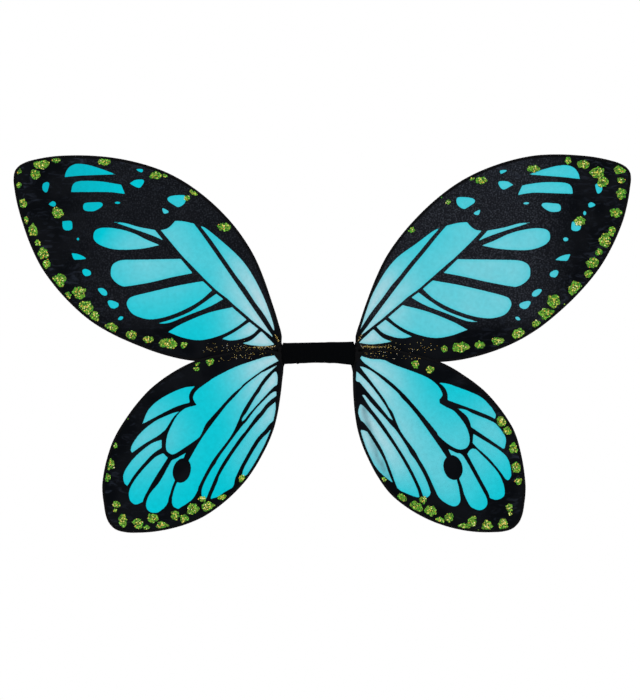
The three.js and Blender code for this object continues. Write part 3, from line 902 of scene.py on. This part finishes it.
def make_panel(wing, wings, material):
    """The printed sheet: a front and a back face a fraction of a millimetre apart, joined round the rim."""
    points, triangles = mesh_inside(wing.rim, MESH_SPACING)
    depth = wing.y + wing.shape(points)
    front = in_space(points, wing.side, depth - SHEET_HALF_THICKNESS)
    back = in_space(points, wing.side, depth + SHEET_HALF_THICKNESS)
    count, rim_count = len(points), len(wing.rim)
    faces = [tuple(triangle) for triangle in triangles]
    faces += [tuple(i + count for i in triangle[::-1]) for triangle in triangles]
    faces += [(i, i + count, (i + 1) % rim_count + count, (i + 1) % rim_count) for i in range(rim_count)]
    panel = new_piece(f"{wing.name}_panel", np.vstack([front, back]), faces, material)
    settle(panel, wing.body, f"{wing.name}_mesh")
    print_attributes(wing, panel, points, wings)


def make_binding(wing, material):
    """Black ribbon rolled round the wire: a round roll with a thin lip on the mesh, slightly gathered."""
    line = wing.wire
    path = in_space(line, wing.side, wing.y)
    sideways = in_space(outward(line), wing.side, 0)
    up = repeated(BACKWARD, line)
    lip = np.array([(-LIP_REACH, -0.3), (-LIP_REACH, 0.3)])
    angles = np.linspace(math.radians(152), math.radians(-152), 12)
    roll = HEM_RADIUS * np.column_stack([np.cos(angles), np.sin(angles)])
    section = np.vstack([roll, lip])
    rng = random.Random(wing.name)
    wobble = [rng.uniform(-1, 1) for _ in line]

    def gathered(i):
        pinch = 1 + 0.035 * math.sin(i * 1.9) + 0.025 * wobble[i]
        return section * pinch

    vertices = sweep(path, sideways, up, gathered)
    binding = new_piece(f"{wing.name}_binding", vertices, tube_faces(len(line), len(section)), material)
    settle(binding, wing.body, f"{wing.name}_hem")


def make_binding_stitches(wing, material):
    """Running stitches through the binding's lip, on the decorated face."""
    line = evenly(wing.edge, 3.2)[1:-1]
    normal = outward(line)
    places = in_space(line - 0.35 * normal, wing.side, wing.y - 0.3)
    along = in_space(np.column_stack([normal[:, 1], -normal[:, 0]]), wing.side, 0)
    face = repeated(FORWARD, line)
    row = stitches(f"{wing.name}_stitches", places, along, face, length=2.0, width=0.4, material=material)
    settle(row, wing.body)


# ---- glitter ----

# Tints and their shares. Flakes lie in clumps of one kind: gold in the middle of a dab, green at its edge,
# with dark ones between, and cream where the dab lies over turquoise.
GOLD_TINTS = [
    (srgb(214, 216, 84), 4), (srgb(240, 212, 110), 4), (srgb(250, 244, 176), 2), (srgb(214, 150, 58), 2),
]
GREEN_TINTS = [
    (srgb(62, 158, 30), 5), (srgb(104, 192, 46), 4), (srgb(150, 214, 84), 2), (srgb(30, 112, 20), 2),
]
DARK_TINTS = [(srgb(14, 58, 12), 4), (srgb(34, 96, 20), 3), (srgb(96, 104, 26), 1)]
CREAM_TINTS = [(srgb(248, 244, 196), 3), (srgb(226, 222, 124), 3), (srgb(186, 204, 84), 2)]
DUST_TINTS = [
    (srgb(214, 180, 84), 3), (srgb(244, 222, 140), 2), (srgb(170, 130, 50), 2), (srgb(210, 210, 200), 1),
]


def pick(rng, tints):
    return rng.choices([tint for tint, _ in tints], [share for _, share in tints])[0]


def clump_tint(rng, spot, out, over_cell):
    """The tint of a flake at one spot, by how far out in its dab it lies."""
    if over_cell and rng.random() < 0.6:
        return pick(rng, CREAM_TINTS)
    patch = noise.noise((spot[0] * 0.55, spot[1] * 0.55, 2.0)) + 0.12 * rng.uniform(-1, 1)
    if patch < -0.13:
        return pick(rng, DARK_TINTS)
    return pick(rng, GOLD_TINTS if patch + 0.45 * (0.6 - out) > 0.2 else GREEN_TINTS)


def make_flakes(name, places, sizes, tilts, tints, wing, material):
    """Hexagonal flakes lying on the mesh, each a thin closed plate with its own tilt and tint."""
    rng = random.Random(name)
    outline = np.column_stack([circle(1.0, 6), np.zeros(6)])
    vertices, faces, colours = [], [], []
    for place, size, tilt, tint in zip(places, sizes, tilts, tints):
        lean, turn = rng.uniform(0, 2 * math.pi), rng.uniform(0, math.pi)
        lie = math.sin(tilt)
        normal = np.array([lie * math.cos(lean), -math.cos(tilt), lie * math.sin(lean)])
        across = np.cross(normal, (math.cos(turn), 0.2, math.sin(turn)))
        across /= np.linalg.norm(across)
        axes = np.array([across, np.cross(normal, across), normal])
        plate = place + size * outline @ axes
        first = 12 * len(vertices)
        vertices.append(np.vstack([plate + 0.04 * normal, plate - 0.04 * normal]))
        faces.append(tuple(first + i for i in range(6)))
        faces.append(tuple(first + i for i in range(11, 5, -1)))
        faces += [(first + i, first + 6 + i, first + 6 + (i + 1) % 6, first + (i + 1) % 6) for i in range(6)]
        colours += [(*tint, 1)] * 12
    piece = new_piece(name, np.vstack(vertices), faces, material, smooth=False)
    settle(piece, wing.body)
    attribute = piece.data.color_attributes.new("tint", "FLOAT_COLOR", "POINT")
    attribute.data.foreach_set("color", np.array(colours, np.float32).ravel())


GLUE_HEIGHT = 0.4
FLAKES_PER_SIZE, FEWEST_FLAKES = 1.9, 12  # how many flakes a dab has, from its half width by its half height
GLITTER_TO_RIM = 0.9  # dabs stop this far inside the mesh panel's rim


def dab_outline(rng, wing, u, z, half_width, half_height, around):
    """The lumpy outline of one dab of glue, as offsets from its middle, kept inside the wing."""
    angles = np.arange(around) * 2 * math.pi / around
    lumps = sum(
        rng.uniform(0.03, 0.1) * np.sin(n * angles + rng.uniform(0, 2 * math.pi)) for n in (2, 3, 5, 7)
    )
    way = np.column_stack([np.cos(angles), np.sin(angles)])
    oval = np.hypot(half_height * way[:, 0], half_width * way[:, 1])
    reach = (1 + lumps) * half_width * half_height / oval
    steps = np.linspace(0.1, 1, 10)
    tried = (u, z) + (reach[:, None] * steps)[..., None] * way[:, None]
    flat = tried.reshape(-1, 2)
    clear = inside(flat, wing.rim) & (distance_to(flat, wing.rim) > GLITTER_TO_RIM)
    share = np.cumprod(clear.reshape(around, -1), axis=1).sum(axis=1) / len(steps)
    return reach[:, None] * np.maximum(share, 0.08)[:, None] * way


def make_glitter(wing, wings, glue, glitter):
    """Dabs of glue with overlapping flakes on them."""
    rng = random.Random(f"{wing.name}_glitter")
    face = wing.y - SHEET_HALF_THICKNESS - 0.25
    around = 32
    profile = [(1, 0), (0.97, 0.5), (0.85, 0.8), (0.55, 0.97), (0.2, 1)]  # out from the middle, height
    dab_vertices, dab_faces = [], []
    spots, lifts, outs = [], [], []
    for u, z, half_width, half_height in GLITTER[wing.name]:
        outline = dab_outline(rng, wing, u, z, half_width, half_height, around)
        first = len(dab_vertices) * around * len(profile)
        dome = [
            in_space((u, z) + out * outline, wing.side, face - GLUE_HEIGHT * height)
            for out, height in profile
        ]
        dab_vertices.append(np.vstack(dome))
        dab_faces += tube_faces(len(profile), around, first=first)
        for _ in range(int(FLAKES_PER_SIZE * half_width * half_height) + FEWEST_FLAKES):
            spoke = rng.uniform(0, around)
            out = math.sqrt(rng.uniform(0, 1))
            low, share = int(spoke), spoke % 1
            edge = outline[low] * (1 - share) + outline[(low + 1) % around] * share
            spots.append((u, z) + out * edge)
            lifts.append(GLUE_HEIGHT * math.sqrt(1 - out**3) + rng.uniform(0.1, 0.5))
            outs.append(out)
    dabs = new_piece(f"{wing.name}_glue", np.vstack(dab_vertices), dab_faces, glue)
    settle(dabs, wing.body)

    spots = np.array(spots)
    on_cell = cell_depth(wing, wings, spots) > 0
    places = in_space(spots, wing.side, face - np.array(lifts))
    tints = [clump_tint(rng, spot, out, cell) for spot, out, cell in zip(spots, outs, on_cell)]
    sizes = [rng.uniform(0.5, 0.9) for _ in spots]
    tilts = [abs(rng.gauss(0, 0.28)) for _ in spots]
    make_flakes(f"{wing.name}_glitter", places, sizes, tilts, tints, wing, glitter)


# Gold dust on the black at the root: from, to, how far it strays, and how many flakes.
DUST_LINES = {
    "upper": [((52, 6), (150, 7), 4.5, 120), ((54, 9), (92, 8), 0.7, 95), ((50, 12), (56, 24), 0.7, 36)],
    "lower": [((60, 0), (130, -5), 2.8, 60)],
}


def make_dust(wing, wings, glitter):
    """Fine gold flakes strewn over the black at the root, thinning out along the wing."""
    rng = random.Random(f"{wing.name}_dust")
    spots = []
    for start, end, stray, count in DUST_LINES[wing.level]:
        for _ in range(count):
            share = rng.uniform(0, 1) ** 1.3
            spots.append([a + (b - a) * share + rng.gauss(0, stray) for a, b in zip(start, end)])
    spots = np.array(spots)
    on_ink = cell_depth(wing, wings, spots) < 0.2
    spots = spots[inside(spots, wing.rim) & on_ink & (distance_to(spots, wing.rim) > 0.4)]
    places = in_space(spots, wing.side, wing.y + wing.shape(spots) - SHEET_HALF_THICKNESS - 0.12)
    sizes = [rng.uniform(0.2, 0.42) for _ in spots]
    tilts = [abs(rng.gauss(0, 0.3)) for _ in spots]
    tints = [pick(rng, DUST_TINTS) for _ in spots]
    make_flakes(f"{wing.name}_dust", places, sizes, tilts, tints, wing, glitter)


# ---- centre band ----

BAND_END = 45.5
PAD_END = (32, 37)  # where the padding on the back tapers off
BAND_FRONT = -13.4  # y of the band's front
BAND_BACK = (-0.25, -3.3)  # over the padding, and at the ends
BAND_TOP = ((-45, 13.6), (0, 14.6), (45, 15.2))  # the top and bottom edges, arched like the real band
BAND_BOTTOM = ((-45, -13.8), (-5, -12.0), (25, -12.8), (45, -15.4))
SEAM_Z = -7.0
NUB_PLACE = (-26.7, -9)  # x and y of the small lump on the band's bottom edge


def smooth_step(value, low, high):
    share = np.clip((value - low) / (high - low), 0, 1)
    return share * share * (3 - 2 * share)


def squircle(count, front_sharpness, back_sharpness):
    """Points round a rounded rectangle one unit each way, as (depth, height), from the back over the top."""
    angles = np.arange(count) * 2 * math.pi / count
    cos, sin = np.cos(angles), np.sin(angles)
    sharpness = np.where(cos > 0, back_sharpness, front_sharpness)
    return np.column_stack([
        np.sign(cos) * np.abs(cos) ** (2 / sharpness),
        np.sign(sin) * np.abs(sin) ** (2 / sharpness),
    ])


def band_section(x, unit):
    """The band's outline at one place along it, as (y, z)."""
    top, bottom = (np.interp(x, *zip(*edge)) for edge in (BAND_TOP, BAND_BOTTOM))
    back = BAND_BACK[0] + (BAND_BACK[1] - BAND_BACK[0]) * smooth_step(abs(x), *PAD_END)
    middle = np.array([(BAND_FRONT + back) / 2, (top + bottom) / 2])
    half = np.array([(back - BAND_FRONT) / 2, (top - bottom) / 2])
    return middle + half * unit


def creases(x, unit):
    """How far the sleeve's cloth stands in or out, round one section."""
    to_end = BAND_END - abs(x)
    values = []
    for depth, height in unit:
        angle = math.atan2(height, depth)
        broad = noise.noise((x * 0.07, 1.6 * depth + 5, 1.6 * height))
        slanting = noise.noise((x * 0.16 + 0.9 * height, 2.2 * depth, 9.0))
        gathers = math.sin(13 * angle + 1.5 * math.sin(3 * angle)) * math.exp(-to_end / 4.5)
        values.append(0.3 * broad + 0.22 * slanting + 0.38 * gathers)
    return np.array(values)


def make_sleeve(material):
    """The padded tube of black jersey: arched, lightly creased, and gathered where its ends are tied."""
    unit = squircle(84, front_sharpness=3.6, back_sharpness=8.5)  # squarer over the padding
    rings = []
    stations = np.linspace(-BAND_END, BAND_END, 118)
    for x in stations:
        section = band_section(x, unit)
        seam = (unit[:, 0] > 0.9) * 0.55 * np.exp(-(((section[:, 1] - SEAM_Z) / 0.9) ** 2))
        off_nub = ((x - NUB_PLACE[0]) / 1.5) ** 2 + ((section[:, 0] - NUB_PLACE[1]) / 2.5) ** 2
        nub = (unit[:, 1] < -0.9) * 1.1 * np.exp(-off_nub)
        normal = unit / np.linalg.norm(unit, axis=1)[:, None]
        section = section + normal * (creases(x, unit) + seam + nub)[:, None]
        rings.append(np.column_stack([np.full(len(unit), x), section]))
    tucks = [(0.0, 0.93), (0.5, 0.7), (1.6, 0.35)]  # how far in from the end, and the size there
    ends = []
    for ring in (rings[0], rings[-1]):
        middle = ring.mean(axis=0)
        inward = np.array([-np.sign(middle[0]), 0, 0])
        ends.append([middle + (ring - middle) * (1, size, size) + inward * depth for depth, size in tucks])
    rings = ends[0][::-1] + rings + ends[1]
    sleeve = new_piece("sleeve", np.vstack(rings), tube_faces(len(rings), len(unit)), material)
    settle(sleeve, "centre_band", "centre_sleeve")


def make_sleeve_seam(material):
    """Two rows of stitches along the seam on the band's back."""
    for row, offset in (("upper", 1.3), ("lower", -1.3)):
        marks = np.arange(-40, 40.1, 2.9)
        places = []
        for x in marks:
            back = band_section(x, np.array([[1.0, 0.0]]))[0, 0]
            places.append((x, back + 0.15, SEAM_Z + offset))
        along, out = repeated(ALONG_BAND, marks), repeated(BACKWARD, marks)
        name = f"sleeve_seam_{row}"
        seam = stitches(name, np.array(places), along, out, length=2.0, width=0.45, material=material)
        settle(seam, "centre_band")


# ---- collars, cuffs and the wrapped roots of the wings ----

# Each wing's root wrap is the hull of these circles: (u, z, radius). The first is the knuckle it turns on.
ROOT_WRAPS = {
    "upper": [(49.6, 6, 3.7), (49.6, 12.5, 2.3), (57.4, 4.2, 2.4)],
    "lower": [(49.6, -1, 3.6), (57.4, 1.2, 1.9), (48.8, -6.4, 2.1)],
}
WRAP_HALF_THICKNESS = 2.15


def hull_of_circles(circles, count):
    """The outline round a few circles, evenly spaced."""
    points = np.vstack([(u, z) + circle(radius, 24) for u, z, radius in circles])
    outline = points[geometry.convex_hull_2d([tuple(point) for point in points])]
    return evenly(np.vstack([outline, outline[:1]]), perimeter(outline) / count)[:-1]


def perimeter(outline):
    return np.linalg.norm(outline - np.roll(outline, -1, axis=0), axis=1).sum()


def pillow_rings(outline, side, depth, half_thickness, ripple):
    """Rings of a flat pillow on a plane outline, from the middle of its front face round to its back."""
    middle = outline.mean(axis=0)
    steps = [0.12, 0.4, 0.65, 0.84, 0.95, 1.0, 0.95, 0.84, 0.65, 0.4, 0.12]
    rings = []
    for i, size in enumerate(steps):
        face = -1 if i < 5 else 1 if i > 5 else 0
        height = half_thickness * (1 - size**3) ** 0.5
        turns = ripple * np.sin(2.1 * (outline @ (0.8, 0.6)) + 0.6 * i) * (size < 0.9)
        rings.append(in_space(middle + (outline - middle) * size, side, depth + face * (height + turns)))
    return rings


LEG_RADIUS = 1.45  # of the tape wound over the bare wire between the root and the binding
WRAP_AROUND = 56  # points round each taped outline


def make_root_wrap(wing, material):
    """Black tape wound over the closed end of a wing's wire, and over its bare wire up to the binding."""
    root = ROOT_WRAPS[wing.level]
    knuckle = np.array(root[0][:2])
    turns = [(root, WRAP_HALF_THICKNESS)]
    for end in (wing.wire[0], wing.wire[-1]):
        leg = [(*(knuckle + share * (end - knuckle)), LEG_RADIUS) for share in (0.25, 1.02)]
        turns.append((leg, LEG_RADIUS))
    rings, faces = [], []
    for circles, half_thickness in turns:
        outline = hull_of_circles(circles, WRAP_AROUND)
        wound = pillow_rings(outline, wing.side, wing.y, half_thickness, ripple=0.12)
        faces += tube_faces(len(wound), WRAP_AROUND, first=len(rings) * WRAP_AROUND)
        rings += wound
    wrap = new_piece(f"{wing.name}_root_wrap", np.vstack(rings), faces, material)
    settle(wrap, wing.body)


COLLAR_WAIST = 0.7  # the collar is this much slimmer between its two knuckles


def make_collar_wrap(side, material):
    """The taped bundle between the band and the wings: turns of tape, each lapping over the last."""
    low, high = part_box(f"{side}_collar")
    low, high = np.array(low) / MM, np.array(high) / MM
    radius = (high[0] - low[0]) / 2
    u = abs(low[0] + high[0]) / 2
    outline = hull_of_circles([(u, high[2] - radius, radius), (u, low[2] + radius, radius)], count=64)
    middle = outline.mean(axis=0)
    to_knuckle = (high[2] - low[2]) / 2 - radius - np.abs(outline[:, 1] - middle[1])
    waist = np.maximum(np.sqrt(np.clip(radius**2 - to_knuckle**2, 0, None)), radius - COLLAR_WAIST)
    pinched = u + np.sign(outline[:, 0] - u) * waist
    outline[:, 0] = np.where(to_knuckle > 0, pinched, outline[:, 0])
    rings = []
    for y in np.linspace(low[1], high[1], 34):
        lap = 0.05 * ((y * 0.55 + 0.02 * outline[:, 1]) % 1.0)[:, None]
        rings.append(in_space(middle + (outline - middle) * (0.94 + lap), side, y))
    wrap = new_piece(f"{side}_collar_wrap", np.vstack(rings), tube_faces(len(rings), len(outline)), material)
    settle(wrap, f"{side}_collar", f"{side}_collar")


# The cuff's profile: (distance out, share of the way from the band's section to the collar's).
CUFF = [
    (44.2, -0.02), (44.9, -0.06), (45.5, -0.05), (46.0, 0.08), (46.4, 0.3), (46.8, 0.6), (47.2, 0.9),
    (47.8, 1.0),
]


def make_cuff(side, material):
    """Stretchy black cloth that closes the gap between the band's end and the collar."""
    low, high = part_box(f"{side}_collar")
    unit = squircle(64, front_sharpness=3.0, back_sharpness=3.0)
    collar_middle = np.array([low.y + high.y, low.z + high.z]) / 2 / MM
    collar_half = np.array([high.y - low.y, high.z - low.z]) / 2 / MM + 0.35
    collar_section = collar_middle + collar_half * unit
    rings = []
    for x, share in CUFF:
        band_end = band_section(SIDES[side] * min(x, BAND_END), unit)
        section = band_end + share * (collar_section - band_end)
        folds = 0.22 * np.sin(15 * np.arctan2(unit[:, 1], unit[:, 0]) + x)
        section = section + unit * folds[:, None]
        rings.append(np.column_stack([np.full(len(unit), SIDES[side] * x), section]))
    cuff = new_piece(f"{side}_cuff", np.vstack(rings), tube_faces(len(rings), len(unit)), material)
    fix_normals(cuff)
    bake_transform(cuff)


# ---- arm loops ----

STRAP_WIDTH, STRAP_THICKNESS = 6.4, 1.05
STRAP_SEWN = 7.0  # half the length that is sewn to the band
STRAP_GAP = 0.3
STRAP_FRONT = -2.35  # y of the front layer's middle
BEND_RADIUS = 5.75  # of the turn at the loop's bottom
TAB_STITCH_SPACING = 1.7


class Hang:
    """One arm loop's own directions: across its width, and down its length."""

    def __init__(self, side):
        joint = next(j for j in frame["joints"] if j["name"] == f"{side}_loop_swing")
        self.across = np.array(joint["axis"], float)
        self.down = np.array([self.across[2], 0, -self.across[0]])
        hinge = np.array(joint["pos_m"], float) / MM
        self.anchor = hinge - self.down * (STRAP_SEWN + STRAP_GAP / 2)
        self.anchor[1] = 0

    def place(self, points):
        """Places in space of points given as (y, distance down) in mm."""
        points = np.asarray(points, float)
        return self.anchor + points[:, :1] * (0, 1, 0) + points[:, 1:] * self.down


def make_ribbon(name, hang, line, material, sway=0.0):
    """Flat braided elastic along a line of (y, distance down), with raised ribs and rounded edges."""
    line = evenly(line, 1.1)
    path = hang.place(line)
    along = np.gradient(path, axis=0)
    along /= np.linalg.norm(along, axis=1)[:, None]
    shares = np.linspace(0, 1, len(path))
    path = path + (sway * np.sin(shares * 2 * math.pi))[:, None] * hang.across
    columns = np.linspace(-1, 1, 27)
    ribs = 0.86 + 0.14 * np.cos(columns * 6.5 * 2 * math.pi)
    rib = STRAP_THICKNESS / 2 * ribs * (1 - 0.55 * np.abs(columns) ** 9)
    section = np.vstack([
        np.column_stack([columns * STRAP_WIDTH / 2, rib]),
        np.column_stack([columns[::-1] * STRAP_WIDTH / 2, -rib[::-1]]),
    ])
    rings = []
    for centre, direction, share in zip(path, along, shares):
        twist = 0.06 * math.sin(share * 4 * math.pi) * (sway > 0)
        flat = np.cross(direction, hang.across)
        width_way = hang.across * math.cos(twist) + flat * math.sin(twist)
        face_way = np.cross(direction, width_way)
        rings.append(centre + section[:, :1] * width_way + section[:, 1:] * face_way)
    return new_piece(name, np.vstack(rings), tube_faces(len(rings), len(section)), material)


def make_arm_strap(side, material):
    """The loop of elastic, with both ends brought together under the band."""
    hang = Hang(side)
    low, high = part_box(f"{side}_arm_loop")
    slant_cos = abs(hang.down[2])
    drop = (-low.z / MM - abs(hang.across[2]) * STRAP_WIDTH / 2) / slant_cos
    top = STRAP_SEWN + STRAP_GAP
    bend = drop - STRAP_THICKNESS / 2 - BEND_RADIUS
    middle = STRAP_FRONT + BEND_RADIUS
    round_end = [
        (middle - BEND_RADIUS * math.cos(angle), bend + BEND_RADIUS * math.sin(angle))
        for angle in np.linspace(0, math.pi, 14)
    ]
    back_top = STRAP_FRONT + STRAP_THICKNESS + 0.15
    strap = make_ribbon(
        f"{side}_arm_strap", hang, [(STRAP_FRONT, top), *round_end, (back_top, top)], material, sway=0.7
    )
    settle(strap, f"{side}_loop", f"{side}_arm_loop")


def make_strap_tab(side, elastic, thread):
    """The sewn-down end: two layers of the elastic, with a boxed cross of stitches."""
    hang = Hang(side)
    reach = STRAP_SEWN - 0.3
    back = STRAP_FRONT + STRAP_THICKNESS + 0.1
    for layer, y in (("front", STRAP_FRONT), ("back", back)):
        tab = make_ribbon(f"{side}_tab_{layer}", hang, [(y, -reach), (y, reach)], elastic)
        settle(tab, "centre_band", f"{side}_strap_end" if layer == "front" else None)
    box = [(-2.2, -5.2), (2.2, -5.2), (2.2, 5.2), (-2.2, 5.2), (-2.2, -5.2), (2.2, 5.2)]
    lines = [(a, b) for a, b in zip(box, box[1:])] + [(box[3], box[1])]
    places, ways = [], []
    face = np.array([0, back + STRAP_THICKNESS / 2 + 0.1, 0])
    for start, end in lines:
        run = np.subtract(end, start)
        half_step = run / np.hypot(*run) * TAB_STITCH_SPACING / 2
        for across, down in evenly([start, end], TAB_STITCH_SPACING)[:-1] + half_step:
            places.append(hang.anchor + across * hang.across + down * hang.down + face)
        way = run[0] * hang.across + run[1] * hang.down
        ways += [way / np.linalg.norm(way)] * (len(places) - len(ways))
    out = repeated(BACKWARD, places)
    name = f"{side}_tab_stitches"
    sewing = stitches(name, np.array(places), np.array(ways), out, length=1.4, width=0.35, material=thread)
    settle(sewing, "centre_band")


# ---- assembly ----

make_stage()

finishes = {
    "printed_mesh": printed_mesh_material(),
    "hem": binding_material(),
    "black_knit": knit_material(),
    "elastic": elastic_material(),
    "tape": tape_material(),
    "wire": wire_material(),
    "foam": inner_material("foam", srgb(48, 49, 54), srgb(60, 61, 66)),
    "core_plastic": inner_material("core_plastic", srgb(24, 24, 28), srgb(32, 32, 36)),
}
thread, glitter, glue = thread_material(), glitter_material(), glue_material()

for row in frame["record"]["subparts"]:
    node = frame["nodes"][row["node"]]
    node.data.materials.clear()
    node.data.materials.append(finishes[row["material_slot"]])

wings = {}
for level in ("upper", "lower"):
    for side in SIDES:
        wing = Wing(level, side)
        wings[wing.name] = wing
for wing in wings.values():
    make_panel(wing, wings, finishes["printed_mesh"])
    make_binding(wing, finishes["hem"])
    make_binding_stitches(wing, thread)
    make_glitter(wing, wings, glue, glitter)
    make_dust(wing, wings, glitter)
    make_root_wrap(wing, finishes["tape"])

make_sleeve(finishes["black_knit"])
make_sleeve_seam(thread)
for side in SIDES:
    make_collar_wrap(side, finishes["tape"])
    make_cuff(side, finishes["black_knit"])
    make_arm_strap(side, finishes["elastic"])
    make_strap_tab(side, finishes["elastic"], thread)
